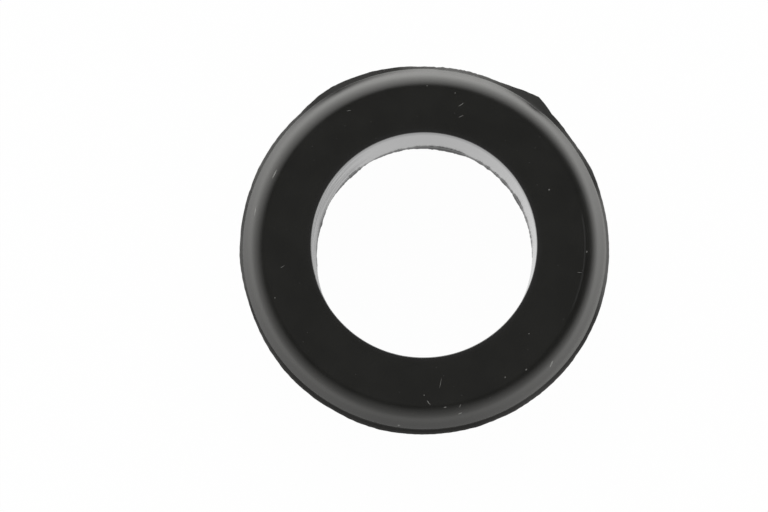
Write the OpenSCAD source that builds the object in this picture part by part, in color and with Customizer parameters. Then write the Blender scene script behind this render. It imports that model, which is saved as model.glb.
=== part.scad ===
// Moulded rubber washer with sloped and rounded outer edges, a plain bore and the flash of its two-part mould.
// Millimetres. The bore's axis is Z, the seat is at Z = 0 and the top face looks along +Z.
// Angles are counted from +X towards +Y, seen from above.

/* [Washer] */
// Diameter of the bore
bore_d = 15.2; // [12:0.1:18]
// Width of the ring, from the bore's wall to the parting line
ring_w = 4.65; // [4:0.05:6]
// Height from the seat to the top face
thick = 6.5; // [5.5:0.1:8]
// Width of each sloped edge, from the flat face to the parting line
edge_w = 1.53; // [1.4:0.01:2]
// Radius of the rounding between a flat face and its sloped edge
edge_r = 1.6; // [0.8:0.1:1.8]
// Fall of the sloped edges, in degrees
edge_slope = 37; // [30:1:45]
// Lean of the outer wall towards each face, in degrees
wall_draft = 2; // [1:0.5:4]

/* [Parting line flash] */
// How far the parting line lies below the top face
parting_drop = 2.7; // [2.4:0.1:3.2]
// Width of the flash all round
flash_w = 0.39; // [0.2:0.01:0.5]
// Thickness of the flash
flash_t = 0.14; // [0.1:0.02:0.2]

/* [Tongue of flash] */
// Where the tongue stands out most
tongue_angle = 115; // [100:1:130]
// Angle from its middle to where it runs out
tongue_half_span = 20; // [15:1:25]
// Where the tongue is torn off, counted from its middle
tongue_torn = 14; // [8:1:14]
// How far the tongue stands out from the flash
tongue_out = 0.27; // [0.1:0.01:0.5]

/* [Torn tab] */
// Where the tab's point is
tab_angle = 53; // [45:1:60]
// Angle from the point to the tab's root on the far side
tab_far_span = 14; // [8:1:16]
// Angle from the point to the tab's root on the right side
tab_right_span = 17; // [10:1:18]
// How far the tab stands out from the flash
tab_out = 0.46; // [0.2:0.01:0.6]

/* [Swellings of the flash] */
// Middle of the swelling on the right
right_swell_angle = 25; // [20:1:28]
// Angle from its middle to where it runs out
right_swell_half_span = 8; // [5:1:10]
// How far it stands out from the flash
right_swell_out = 0.08; // [0.04:0.01:0.2]
// Middle of the swelling on the near left
left_swell_angle = 221; // [205:1:235]
// Angle from its middle to where it runs out
left_swell_half_span = 7; // [4:1:12]
// How far it stands out from the flash
left_swell_out = 0.04; // [0.03:0.01:0.2]

/* [Skin at the bore's lower edge] */
// Width of the skin left round the bore
skin_w = 0.06; // [0.03:0.01:0.08]
// Thickness of the skin
skin_t = 0.16; // [0.1:0.02:0.3]
// How far the skin's ragged lumps reach into the bore
skin_lump = 0.13; // [0.1:0.01:0.18]

/* [Hidden] */
$fn = 96;
rubber_black = [0.05, 0.05, 0.05];

bore_r = bore_d / 2;
body_r = bore_r + ring_w;
flash_r = body_r + flash_w;
parting_z = thick - parting_drop;
// The flash is rooted this deep in the body
root = 0.4;
// A cutter passes the faces by this much
past = 1;

// Where each flat face ends
face_r = body_r - edge_w;
// A rounding stands proud of its slope by this much, so that the two meet in a clean edge
proud = 0.005;
reach = edge_r - proud;
slope_run = reach * sin(edge_slope);
slope_fall = edge_r - reach * cos(edge_slope);

// Middle angle and width of each lump on the bore's skin
skin_lumps = [[30, 1.1], [42, 0.6], [76, 2.2], [131, 1.6], [163, 1.4]];

function polar(r, a) = [r * cos(a), r * sin(a)];

// How far below its face a sloped edge meets the wall, for a face so high above the parting line
function wall_drop(height) =
    (edge_w - height * tan(wall_draft) - slope_run + slope_fall / tan(edge_slope))
    / (1 / tan(edge_slope) - tan(wall_draft));

// Rounding of a face's rim, which ends a little inside the slope
module rounding() {
    intersection() {
        circle(r = edge_r);
        square([edge_r * sin(edge_slope + 15), edge_r]);
    }
}

// Half section of the ring, filled to the axis
module half_section() {
    high = thick - parting_z;
    low_drop = wall_drop(parting_z);
    high_drop = wall_drop(high);
    low_corner_r = body_r - (parting_z - low_drop) * tan(wall_draft);
    high_corner_r = body_r - (high - high_drop) * tan(wall_draft);
    polygon([
        [0, 0], [face_r, 0], [face_r + slope_run, slope_fall], [low_corner_r, low_drop], [body_r, parting_z],
        [high_corner_r, thick - high_drop], [face_r + slope_run, thick - slope_fall], [face_r, thick], [0, thick]
    ]);
    translate([face_r, edge_r]) mirror([0, 1]) rounding();
    translate([face_r, thick - edge_r]) rounding();
}

// Disc that passes the flash's rim at +-half_span from its middle and stands out most there
module swelling(angle, half_span, out) {
    rise = flash_r + out - flash_r * cos(half_span);
    half_chord = flash_r * sin(half_span);
    swell_r = (rise * rise + half_chord * half_chord) / (2 * rise);
    rotate(angle) translate([flash_r + out - swell_r, 0]) circle(r = swell_r);
}

// Tongue of flash that runs out on one side and is torn off on the other
module tongue() {
    intersection() {
        swelling(tongue_angle, tongue_half_span, tongue_out);
        polygon([
            [0, 0],
            polar(2 * body_r, tongue_angle - 2 * tongue_half_span),
            polar(2 * body_r, tongue_angle + tongue_torn)
        ]);
    }
}

// Pointed tab left where the flash was torn off
module tab() {
    tab_root_r = body_r + flash_w / 2;
    polygon([
        polar(tab_root_r, tab_angle - tab_right_span),
        polar(flash_r + tab_out, tab_angle),
        polar(tab_root_r, tab_angle + tab_far_span),
        polar(body_r - root / 2, tab_angle)
    ]);
}

// Outline of the whole flash, seen from above
module flash_outline() {
    difference() {
        union() {
            circle(r = flash_r);
            swelling(right_swell_angle, right_swell_half_span, right_swell_out);
            swelling(left_swell_angle, left_swell_half_span, left_swell_out);
            tongue();
            tab();
        }
        circle(r = body_r - root);
    }
}

// What the ragged skin leaves open at the bore's lower edge
module skin_opening() {
    difference() {
        circle(r = bore_r - skin_w);
        for (lump = skin_lumps)
            rotate(lump[0]) translate([bore_r - skin_lump, -lump[1] / 2]) square([2 * skin_lump, lump[1]]);
    }
}

module washer() {
    color(rubber_black)
    difference() {
        union() {
            rotate_extrude() half_section();
            translate([0, 0, parting_z - flash_t / 2]) linear_extrude(flash_t) flash_outline();
        }
        translate([0, 0, skin_t]) cylinder(r = bore_r, h = thick);
        translate([0, 0, -past]) linear_extrude(thick) skin_opening();
    }
}

washer();
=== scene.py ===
import math

import bmesh
import bpy
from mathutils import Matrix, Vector, noise


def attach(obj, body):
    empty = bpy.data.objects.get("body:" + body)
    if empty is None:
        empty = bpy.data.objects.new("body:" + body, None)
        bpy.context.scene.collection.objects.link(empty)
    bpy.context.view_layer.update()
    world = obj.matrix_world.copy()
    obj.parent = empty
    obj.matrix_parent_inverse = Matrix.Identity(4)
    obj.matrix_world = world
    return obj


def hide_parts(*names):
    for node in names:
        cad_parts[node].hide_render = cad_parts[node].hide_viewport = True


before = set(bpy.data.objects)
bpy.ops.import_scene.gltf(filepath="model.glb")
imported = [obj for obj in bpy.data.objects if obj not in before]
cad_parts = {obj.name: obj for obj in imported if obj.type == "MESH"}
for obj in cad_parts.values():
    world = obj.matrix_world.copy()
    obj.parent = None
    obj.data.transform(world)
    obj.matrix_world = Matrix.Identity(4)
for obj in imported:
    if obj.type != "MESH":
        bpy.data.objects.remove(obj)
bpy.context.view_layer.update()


# Washer
# The whole object: one ring of black rubber, pressed in a two-part mould and left as it came out,
# with torn flash along the parting line and a ragged skin at the lower edge of the plain bore.

# Sizes in millimetres; the finished mesh is brought to metres
bore_r = 7.6
ring_w = 4.65
thick = 6.5
edge_w = 1.53
edge_r = 1.6
edge_slope = math.radians(37)
wall_draft = math.radians(2)
wall_edge_r = 0.03
bore_edge_r = 0.06
parting_drop = 2.7
flash_w = 0.39
flash_t = 0.14
flash_tip_t = 0.08
flash_root_edge = 0.12
skin_w = 0.06
skin_t = 0.16
skin_tip_t = 0.07
skin_root_z = 0.45
lip_w = 0.56
flat_margin = 0.1
long_edge = 0.5
merge_gap = 0.0005
sectors = 12
sector_steps = 90

body_r = bore_r + ring_w
face_r = body_r - edge_w
parting_z = thick - parting_drop
flash_root_r = body_r - flash_t / 2 * math.tan(wall_draft)
slope_start_r = face_r + edge_r * math.sin(edge_slope)

# Each rounding takes this length off both sides of its corner
face_cut = edge_r * math.tan(edge_slope / 2)
wall_cut = wall_edge_r * math.tan((math.pi / 2 - wall_draft - edge_slope) / 2)


def wall_corner(height):
    """Radius and drop of the corner between a sloped edge and the wall, for a face so far from the flash."""
    start = face_r + face_cut
    lean = math.tan(wall_draft)
    drop = (body_r - height * lean - start) / (1 / math.tan(edge_slope) - lean)
    return start + drop / math.tan(edge_slope), drop


# The corners above and below the flash, and where the lip that the torn flash pulled up begins
high_corner_r, high_drop = wall_corner(thick - parting_z)
low_corner_r, low_drop = wall_corner(parting_z)
lip_start_r = high_corner_r - lip_w


def hump(turn, middle, before, after, power):
    """1 at the middle angle and 0 so many degrees before and after it; a power below 1 makes it broad."""
    away = (turn - middle + 180) % 360 - 180
    span = after if away > 0 else before
    return max(0.0, 1 - abs(away) / span) ** power


def passage(value, start, end):
    """0 up to start and 1 from end on, with an even passage between."""
    return min(1.0, max(0.0, (value - start) / (end - start)))


def ripple(turn, count, seed):
    """Smooth unevenness between -1 and 1 that closes on itself, with about count waves round the ring."""
    angle = math.radians(turn)
    reach = count / (2 * math.pi)
    return noise.noise(Vector((reach * math.cos(angle), reach * math.sin(angle), seed)))


def flash_width(turn):
    """How far the flash stands out of the body at an angle: thin all round, with a tab and a tongue."""
    width = 0.42
    # The tab's point and the nick beside it
    width += 0.46 * hump(turn, 53, 16, 14, 1.4)
    width -= 0.11 * hump(turn, 46.5, 6, 5, 1)
    # The tongue, which is torn off on its left
    width += 0.24 * hump(turn, 120, 28, 12, 0.8)
    width += 0.04 * hump(turn, 124.5, 4, 4, 1)
    # Small swellings, and a thin stretch on the left
    width += 0.05 * hump(turn, 140, 12, 20, 0.4)
    width += 0.03 * hump(turn, 76, 10, 10, 0.5)
    width += 0.05 * hump(turn, 25, 8, 8, 1)
    width += 0.06 * hump(turn, 256, 16, 18, 1)
    width -= 0.10 * hump(turn, 198, 14, 22, 0.8)
    # The ragged rim, roughest at the far side
    width += 0.02 * ripple(turn, 60, 3.1)
    width += 0.02 * ripple(turn, 240, 7.7)
    width += 0.05 * hump(turn, 78, 13, 13, 0.5) * ripple(turn, 420, 9.1)
    return width


def flash_droop(turn):
    """How far the flash's rim hangs below the parting line at an angle."""
    droop = 0.42 * hump(turn, 2, 24, 20, 0.9)
    droop += 0.09 * hump(turn, 34, 12, 10, 0.7)
    droop += 0.15 * hump(turn, 80, 18, 18, 0.5)
    droop -= 0.08 * hump(turn, 53, 11, 9, 0.7)
    droop += 0.14 * hump(turn, 152, 24, 14, 0.5)
    droop += 0.17 * hump(turn, 182, 20, 16, 0.5)
    droop += 0.06 * hump(turn, 212, 14, 16, 0.6)
    droop += 0.08 * hump(turn, 312, 26, 28, 0.6)
    droop += 0.03 * ripple(turn, 40, 11.3)
    return droop


def rim_fall(turn):
    """How far the flash's thin rim bends down at an angle, most of all at the near side."""
    return 0.05 * hump(turn, 270, 120, 120, 1)


def skin_width(turn):
    """How far the skin at the bore's lower edge reaches inwards at an angle."""
    width = 0.05 + 0.03 * hump(turn, 85, 35, 35, 0.5)
    width += 0.035 * hump(turn, 34, 30, 26, 0.5)
    # Lumps and gaps, from the right round to the left
    width += 0.045 * hump(turn, 30, 8, 6, 1)
    width += 0.05 * hump(turn, 42, 3, 3, 1)
    width += 0.03 * hump(turn, 48, 2.5, 2.5, 1)
    width += 0.04 * hump(turn, 54, 3, 3, 1)
    width += 0.08 * hump(turn, 77, 12, 22, 1)
    width -= 0.03 * hump(turn, 119, 8, 6, 1)
    width += 0.065 * hump(turn, 131, 7, 9, 1)
    width -= 0.05 * hump(turn, 151, 8, 6, 1)
    width += 0.06 * hump(turn, 163, 6, 9, 1)
    # The ragged rim, which ends at the bore's right and left sides
    width += 0.03 * ripple(turn, 150, 5.9)
    width += 0.03 * ripple(turn, 380, 2.3)
    width *= hump(turn, 90, 92, 100, 0.12)
    return max(width, 0.004)


def bore_flare(turn):
    """How far the foot of the bore's wall stands back on the near left."""
    return 0.09 * hump(turn, 201, 15, 18, 0.8)


def bore_edge_out(turn):
    """How far the bore's upper edge stands back, or stands in where it is below 0."""
    return 0.03 * hump(turn, 214, 18, 40, 0.6) - 0.045 * hump(turn, 335, 75, 60, 0.5)


def corner_out(turn):
    """How far the upper half of the mould, which sat askew, moves the wall's corner outwards at an angle."""
    angle = math.radians(turn)
    out = 0.025 - 0.125 * math.sin(angle) + 0.07 * math.cos(angle) ** 2
    out += 0.05 * hump(turn, 330, 20, 14, 1)
    out -= 0.09 * hump(turn, 52, 36, 22, 0.8)
    out -= 0.06 * hump(turn, 51, 4, 4, 1)
    return out


def lip_rise(turn):
    """How far the tongue and the tab, when they were torn, pulled the slope's outer edge up at an angle."""
    return 0.18 * hump(turn, 119, 34, 28, 0.8) + 0.12 * hump(turn, 53, 22, 18, 0.8)


# The section is one outline, which is rounded, opened and spun round the axis
shape = bmesh.new()
skin_root = shape.verts.new((bore_r, 0, skin_root_z))
bore_top = shape.verts.new((bore_r, 0, thick))
face_rim = shape.verts.new((face_r - flat_margin, 0, thick))
high_bend = shape.verts.new((face_r + face_cut, 0, thick))
high_corner = shape.verts.new((high_corner_r, 0, thick - high_drop))
flash_over = shape.verts.new((flash_root_r, 0, parting_z + flash_t / 2))
tip_over = shape.verts.new((body_r + flash_w, 0, parting_z + flash_t / 2))
tip_under = shape.verts.new((body_r + flash_w, 0, parting_z + flash_t / 2 - flash_tip_t))
flash_under = shape.verts.new((flash_root_r, 0, parting_z - flash_t / 2))
low_corner = shape.verts.new((low_corner_r, 0, low_drop))
low_bend = shape.verts.new((face_r + face_cut, 0, 0))
seat_rim = shape.verts.new((face_r - flat_margin, 0, 0))
skin_under = shape.verts.new((bore_r - skin_w, 0, 0))
skin_tip = shape.verts.new((bore_r - skin_w, 0, skin_tip_t))
skin_bend = shape.verts.new((bore_r - skin_w / 3, 0, skin_t))
shape.faces.new([
    skin_root, bore_top, face_rim, high_bend, high_corner, flash_over, tip_over,
    tip_under, flash_under, low_corner, low_bend, seat_rim, skin_under, skin_tip,
    skin_bend,
])
roundings = [
    ([high_bend], face_cut, 14),
    ([low_bend], face_cut, 8),
    ([high_corner, low_corner], wall_cut, 5),
    ([bore_top], bore_edge_r, 4),
    ([flash_over, flash_under], flash_root_edge, 3),
]
for corners, cut, segments in roundings:
    bmesh.ops.bevel(
        shape, geom=corners, offset=cut, offset_type="OFFSET", segments=segments,
        profile=0.5, affect="VERTICES", material=-1,
    )
bmesh.ops.delete(shape, geom=shape.faces[:], context="FACES_ONLY")

# Long edges get points between, and the flash some more, so that they can bend
long_edges = [edge for edge in shape.edges if edge.calc_length() > long_edge]
bmesh.ops.subdivide_edges(shape, edges=long_edges, cuts=4)
flash_edges = [
    edge for edge in shape.edges
    if min(vert.co.x for vert in edge.verts) > body_r and edge.calc_length() > 2 * flash_tip_t
]
bmesh.ops.subdivide_edges(shape, edges=flash_edges, cuts=3)
bmesh.ops.spin(
    shape, geom=shape.verts[:] + shape.edges[:], cent=(0, 0, 0), axis=(0, 0, 1),
    angle=2 * math.pi / sectors, steps=sector_steps,
)
bmesh.ops.spin(
    shape, geom=shape.verts[:] + shape.edges[:] + shape.faces[:], cent=(0, 0, 0), axis=(0, 0, 1),
    angle=2 * math.pi * (sectors - 1) / sectors, steps=sectors - 1, use_duplicate=True,
)
bmesh.ops.remove_doubles(shape, verts=shape.verts[:], dist=merge_gap)
bmesh.ops.recalc_face_normals(shape, faces=shape.faces[:])

# The bore, the flash, the skin, the lip and the mould's shifted upper half make the ring uneven.
# The flash droops almost evenly from its root, and its rim falls only near the tip
droop_power = 1.3
rim_power = 4
for vert in shape.verts:
    radius = math.hypot(vert.co.x, vert.co.y)
    turn = math.degrees(math.atan2(vert.co.y, vert.co.x))
    flash_share = max(0.0, (radius - body_r) / flash_w)
    skin_share = max(0.0, (bore_r - radius) / skin_w)
    moved = radius + flash_share * (flash_width(turn) - flash_w) - skin_share * (skin_width(turn) - skin_w)
    if radius < bore_r + 2 * bore_edge_r:
        up_bore = vert.co.z / thick
        moved += bore_edge_out(turn) * up_bore + bore_flare(turn) * (1 - up_bore)
    if vert.co.z > parting_z:
        up_wall = passage(vert.co.z, parting_z, thick - high_drop)
        down_slope = passage(radius, slope_start_r, high_corner_r)
        on_lip = passage(radius, lip_start_r, high_corner_r)
        out = corner_out(turn) * down_slope * up_wall
        moved += out
        vert.co.z -= out * math.tan(edge_slope)
        vert.co.z += lip_rise(turn) * on_lip ** 2 * up_wall
    vert.co.x *= moved / radius
    vert.co.y *= moved / radius
    vert.co.z -= flash_share ** droop_power * flash_droop(turn) + flash_share ** rim_power * rim_fall(turn)

# Shading breaks at sharp edges and where the skin begins
sharp = math.radians(35)
for edge in shape.edges:
    at_skin_root = all(abs(vert.co.z - skin_root_z) < merge_gap for vert in edge.verts)
    edge.smooth = edge.calc_face_angle(0) < sharp and not at_skin_root
for face in shape.faces:
    face.smooth = True
millimetre = 0.001
bmesh.ops.scale(shape, vec=(millimetre, millimetre, millimetre), verts=shape.verts[:])
washer_mesh = bpy.data.meshes.new("washer_ring")
shape.to_mesh(washer_mesh)
shape.free()
washer = bpy.data.objects.new("washer_ring", washer_mesh)
bpy.context.scene.collection.objects.link(washer)


class Wire:
    """A socket in a node tree. Arithmetic between wires and numbers adds the Math nodes for it."""

    def __init__(self, tree, socket=None):
        self.tree = tree
        self.socket = socket

    def put(self, value, socket):
        """Links a wire to an input socket, or sets the socket to a plain value."""
        if isinstance(value, Wire):
            self.tree.links.new(value.socket, socket)
        else:
            socket.default_value = value

    def node(self, kind, settings=None, sockets=None, out=0):
        """Adds a node, with its settings first and then its inputs' values or links, and gives one output."""
        made = self.tree.nodes.new("ShaderNode" + kind)
        for name, value in (settings or {}).items():
            setattr(made, name, value)
        for name, value in (sockets or {}).items():
            self.put(value, made.inputs[name])
        return Wire(self.tree, made.outputs[out])

    def math(self, operation, first, second=0.0):
        return self.node("Math", {"operation": operation}, {0: first, 1: second})

    def __add__(self, other):
        return self.math("ADD", self, other)

    __radd__ = __add__

    def __mul__(self, other):
        return self.math("MULTIPLY", self, other)

    __rmul__ = __mul__

    def __sub__(self, other):
        return self.math("SUBTRACT", self, other)

    def __rsub__(self, other):
        return self.math("SUBTRACT", other, self)

    def over(self, other):
        return self.math("DIVIDE", self, other)

    def root(self):
        return self.math("SQRT", self)

    def least(self, other):
        return self.math("MINIMUM", self, other)

    def most(self, other):
        return self.math("MAXIMUM", self, other)

    def split(self):
        """The three parts of a vector."""
        parted = self.node("SeparateXYZ", None, {0: self})
        return [Wire(self.tree, socket) for socket in parted.socket.node.outputs]

    def climb(self, start, end):
        """0 up to start and 1 from end on, with an even passage. It falls where end is below start."""
        return self.node("MapRange", None, {"Value": self, "From Min": start, "From Max": end})

    def fade(self, start, end):
        """0 up to start and 1 from end on, with a soft passage. It falls where end is below start."""
        sockets = {"Value": self, "From Min": start, "From Max": end}
        return self.node("MapRange", {"interpolation_type": "SMOOTHSTEP"}, sockets)

    def tint(self, share, other):
        """A colour mixed by a share with another colour."""
        return self.node("Mix", {"data_type": "RGBA"}, {0: share, 6: self, 7: other}, 2)


# Specks of dust and fine scratches on the top: place, length, width
# and turn of each, in millimetres and degrees
marks = [
    (8.4, 3.7, 0.12, 0.12, 0),
    (2.1, 10.3, 0.08, 0.08, 0),
    (0.2, 10.8, 0.08, 0.08, 0),
    (10.9, -0.5, 0.12, 0.09, 80),
    (-10.0, -3.6, 0.07, 0.07, 0),
    (7.0, -6.0, 0.08, 0.08, 0),
    (6.8, -8.4, 0.16, 0.09, 40),
    (5.4, -8.9, 0.09, 0.09, 0),
    (1.4, -10.9, 0.22, 0.08, 10),
    (0.0, -10.1, 0.09, 0.09, 0),
    (2.5, 9.5, 0.52, 0.05, 33),
    (2.5, 8.7, 0.40, 0.045, 25),
    (-5.1, 9.1, 0.35, 0.035, 10),
    (0.3, -10.6, 0.42, 0.07, -53),
    (1.1, -9.3, 0.75, 0.03, 78),
    (-9.5, -1.5, 0.35, 0.03, 35),
    (10.4, -1.9, 0.35, 0.035, 0),
    (-10.1, 4.8, 0.75, 0.10, 64),
    (-11.4, 2.3, 0.80, 0.05, 82),
    (8.5, -8.0, 0.55, 0.10, 67),
    (2.4, -11.3, 0.35, 0.08, 22),
    (2.4, -10.8, 0.25, 0.06, 60),
    (-1.7, -12.1, 0.18, 0.09, 0),
]
rubber = bpy.data.materials.new("black_rubber")
rubber.use_nodes = True
rubber_shader = rubber.node_tree.nodes["Principled BSDF"]
ink = Wire(rubber.node_tree)
place = ink.node("TexCoord", out="Object")
spot = ink.node("VectorMath", {"operation": "SCALE"}, {0: place, "Scale": 1 / millimetre})
x, y, z = spot.split()
reach = (x * x + y * y).root()

# Where each part of the surface lies: 0 off it and 1 on it
on_top = z.fade(thick - 1.1, thick - 0.9)
in_bore = reach.fade(bore_r + 0.2, bore_r + 0.15) * z.fade(thick, thick - 0.08)
from_middle = ink.math("ABSOLUTE", z - thick / 2)
on_wall = from_middle.fade(thick / 2 - 0.85, thick / 2 - 1.05) * reach.fade(body_r - 0.75, body_r - 0.25)
from_parting = ink.math("ABSOLUTE", z - parting_z)
on_flash = reach.fade(body_r + 0.02, body_r + 0.08) * from_parting.fade(0.5, 0.4)
on_slope = reach.fade(face_r + 0.2, face_r + 0.7) * on_top
from_bend = ink.math("ABSOLUTE", reach - (slope_start_r + 0.08))
on_bend = from_bend.fade(0.2, 0.0) * on_top
# Painted shade: the outer part of the slope is darker everywhere but on the right side
painted_shade_slope_foot = reach.fade(slope_start_r + 0.15, slope_start_r + 0.45) * x.fade(9, 3) * on_top
# Painted highlight: the top's outer corner is paler on the right side only
painted_highlight_corner = reach.fade(high_corner_r - 0.12, high_corner_r + 0.05) * x.fade(5, 10) * on_top
bore_rim = reach.fade(bore_r + 0.4, bore_r + 0.02) * on_top
from_line = ink.math("ABSOLUTE", reach - (face_r + 0.06))
witness = from_line.fade(0.07, 0.03) * x.fade(9.6, 10.2) * y.fade(2.5, 1.5)

# Soft tone and fine grain all over
cloud = ink.node("TexNoise", None, {"Vector": spot, "Scale": 0.45, "Detail": 3.0})
grain = ink.node("TexNoise", None, {"Vector": spot, "Scale": 9.0, "Detail": 4.0})
tone = cloud.fade(0.3, 0.7)

# Drag marks run round the ring: thin in height on the bore's wall, thin in width on the faces
round_way = ink.node("CombineXYZ", None, {0: 0.25 * x, 1: 0.25 * y, 2: 3.0 * (reach - z)})
streak = ink.node("TexNoise", None, {"Vector": round_way, "Scale": 1.0, "Detail": 3.0})
scuffed = in_bore * x.fade(-2.5, -7.5) * (0.45 + 0.7 * streak.fade(0.38, 0.62))

# Each mark is an ellipse in its own turned and scaled place; the nearest one counts
wobble = 0.06
flat = ink.node("CombineXYZ", None, {0: x + wobble * grain, 1: y + wobble * streak, 2: 0.0})
nearest = ink.node("Value")
nearest.socket.default_value = 9.0
for mark_x, mark_y, length, width, turn in marks:
    sockets = {
        "Vector": flat,
        "Location": (mark_x + wobble / 2, mark_y + wobble / 2, 0),
        "Rotation": (0, 0, math.radians(turn)),
        "Scale": (length / 2, width / 2, 1),
    }
    inside = ink.node("Mapping", {"vector_type": "TEXTURE"}, sockets)
    nearest = nearest.least(ink.node("VectorMath", {"operation": "LENGTH"}, {0: inside}, "Value"))
marked = nearest.fade(1.1, 0.5) * on_top
dust = ink.node("TexVoronoi", None, {"Vector": spot, "Scale": 1.6}, "Distance").fade(0.06, 0.03)

# Colour, roughness and grain of the rubber
black = ink.node(
    "Mix", {"data_type": "RGBA"},
    {0: tone, 6: (0.0098, 0.0098, 0.0090, 1), 7: (0.0118, 0.0118, 0.0108, 1)}, 2,
)
colour = black.tint(bore_rim, (0.016, 0.016, 0.016, 1))
colour = colour.tint(0.4 * on_slope * streak.fade(0.4, 0.7), (0.022, 0.021, 0.020, 1))
colour = colour.tint(0.8 * on_bend, (0.024, 0.0235, 0.023, 1))
# Painted shade on the slope's outer part, away from the right side
colour = colour.tint(0.8 * painted_shade_slope_foot, (0.004, 0.004, 0.004, 1))
# Painted highlight on the right side of the top's outer corner
colour = colour.tint(0.8 * painted_highlight_corner, (0.05, 0.05, 0.048, 1))
colour = colour.tint(on_flash, (0.013, 0.0126, 0.012, 1))
colour = colour.tint(0.7 * witness, (0.03, 0.03, 0.03, 1))
colour = colour.tint(0.4 * dust, (0.10, 0.10, 0.10, 1))
colour = colour.tint(marked, (0.17, 0.17, 0.165, 1))
ink.put(colour, rubber_shader.inputs["Base Color"])
matte = 0.18 + 0.04 * grain + 0.02 * tone + 0.02 * streak
matte = matte + 0.3 * on_wall - 0.09 * in_bore + 0.02 * on_flash + 0.2 * scuffed
ink.put(matte, rubber_shader.inputs["Roughness"])
bumped = ink.node("Bump", None, {"Strength": 0.1, "Distance": 0.00002, "Height": grain})
ink.put(bumped, rubber_shader.inputs["Normal"])
rubber_shader.inputs["IOR"].default_value = 1.75
washer_mesh.materials.append(rubber)

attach(washer, "root")
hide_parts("washer")


# Table
# A plain white sheet that the washer lies on. It is seen as white, with a share of the real light on it,
# so that the washer's soft shadow stays.

sheet = bmesh.new()
bmesh.ops.create_grid(sheet, x_segments=1, y_segments=1, size=1.5)
bmesh.ops.translate(sheet, vec=(0, 0, -0.00001), verts=sheet.verts[:])
table_mesh = bpy.data.meshes.new("table")
sheet.to_mesh(table_mesh)
sheet.free()
table = bpy.data.objects.new("table", table_mesh)
bpy.context.scene.collection.objects.link(table)
paper = bpy.data.materials.new("white_paper")
paper.use_nodes = True
paper.node_tree.nodes.clear()
page = Wire(paper.node_tree)
lit = page.node("BsdfDiffuse", None, {"Color": (0.9, 0.9, 0.9, 1)})
white = page.node("Emission", None, {"Color": (1, 1, 1, 1), "Strength": 1.0})
seen = page.node("LightPath", out="Is Camera Ray")
glossed = page.node("LightPath", out="Is Glossy Ray")
through = page.node("LightPath", out="Is Transmission Ray")
share = 0.98 * seen.most(glossed).most(through)
finish = page.node("MixShader", None, {0: share, 1: lit, 2: white})
sheet_out = paper.node_tree.nodes.new("ShaderNodeOutputMaterial")
page.put(finish, sheet_out.inputs["Surface"])
table_mesh.materials.append(paper)


# Light
# A white light tent stands round the table: bright towards the horizon, brightest behind the washer and
# dimmest at its near side, with a dark opening overhead, so that the flat face stays dark.

room = bpy.data.worlds.new("room")
bpy.context.scene.world = room
room.use_nodes = True
room.node_tree.nodes.clear()
air = Wire(room.node_tree)
across, back, up = air.node("TexCoord", out="Generated").split()
level = (across * across + back * back).root()
far = back.over(level)
right = across.over(level)
from_top = air.math("ARCCOSINE", up)
length_less_width = right * right - far * far
opening = 0.47 + 0.11 * right + 0.05 * far + 0.11 * length_less_width + 0.09 * right * far
cloth = 1.95 + 1.04 * far + 0.12 * right - 0.14 * length_less_width
cloth = cloth + 0.26 * far.fade(0.85, 1.0) - 0.12 * far.fade(-0.8, -1.0)
overhead = 0.12 - 0.08 * from_top.climb(0.1, 0.3)
strength = overhead + cloth * from_top.climb(opening, 1.22)
tent = air.node("Background", None, {"Color": (1, 0.995, 0.97, 1), "Strength": strength})
bright = air.node("Background", None, {"Color": (1, 1, 1, 1), "Strength": 1.0})
seen = air.node("LightPath", out="Is Camera Ray")
glow = air.node("MixShader", None, {0: seen, 1: tent, 2: bright})
room_out = room.node_tree.nodes.new("ShaderNodeOutputWorld")
air.put(glow, room_out.inputs["Surface"])


# Camera
# It stands over the near edge of the washer and looks almost straight down, with the washer to the
# right of the middle of a frame 768 pixels wide and 512 high.

eye = bpy.data.cameras.new("eye")
# Lens, place and tilt as fitted to the bore's two edges and the outline
eye.lens = 90.86
eye.sensor_width = 36
eye.clip_start = 0.01
camera = bpy.data.objects.new("eye", eye)
camera.location = (0.000144, -0.013846, 0.135889)
camera.rotation_mode = "YXZ"
camera.rotation_euler = (0.1006, 0.0218, 0)
bpy.context.scene.collection.objects.link(camera)
bpy.context.scene.camera = camera
bpy.context.scene.view_settings.view_transform = "Standard"
